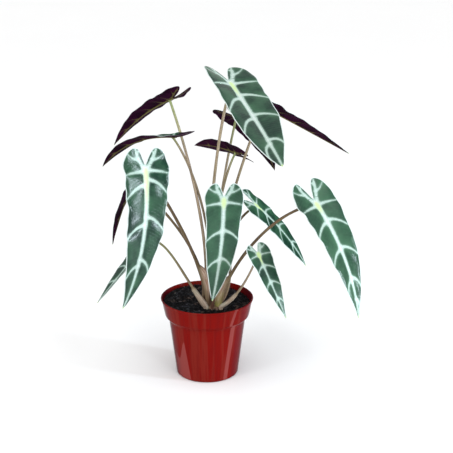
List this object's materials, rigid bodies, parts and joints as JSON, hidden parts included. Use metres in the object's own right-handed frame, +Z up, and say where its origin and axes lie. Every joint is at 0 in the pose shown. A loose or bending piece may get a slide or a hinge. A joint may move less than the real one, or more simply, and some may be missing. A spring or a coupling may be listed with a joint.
{
  "type": "potted alocasia",
  "caption": "Living alocasia in a round nursery pot: arrow-shaped dark leaves with pale veins, on long stems that rise from one corm in the soil.",
  "frame": {"origin": "middle of the pot's base, on the surface it stands on", "axes": "+Z up along the pot's axis, -Y toward the plant's front, +X to the right as seen from the front"},
  "size_m": [0.3312, 0.3139, 0.4107],
  "materials": {
    "pot": "gloss",
    "soil": "matte",
    "corm": "matte",
    "stem": "satin",
    "leaf": "satin"
  },
  "bodies": {
    "root": {"pot": "pot", "soil": "soil", "corm": "corm", "stem_upper_left": "stem", "blade_upper_left": "leaf", "stem_level_left": "stem", "blade_level_left": "leaf", "stem_front_left": "stem", "blade_front_left": "leaf", "stem_front_centre": "stem", "blade_front_centre": "leaf", "stem_top": "stem", "blade_top": "leaf", "stem_back_right": "stem", "blade_back_right": "leaf", "stem_back_upper": "stem", "blade_back_upper": "leaf", "stem_back_lower": "stem", "blade_back_lower": "leaf", "stem_right_middle": "stem", "blade_right_middle": "leaf", "stem_front_right": "stem", "blade_front_right": "leaf", "stem_low_right": "stem", "blade_low_right": "leaf", "stem_far_left": "stem", "blade_far_left": "leaf", "stem_low_left": "stem", "blade_low_left": "leaf"}
  },
  "joints": []
}
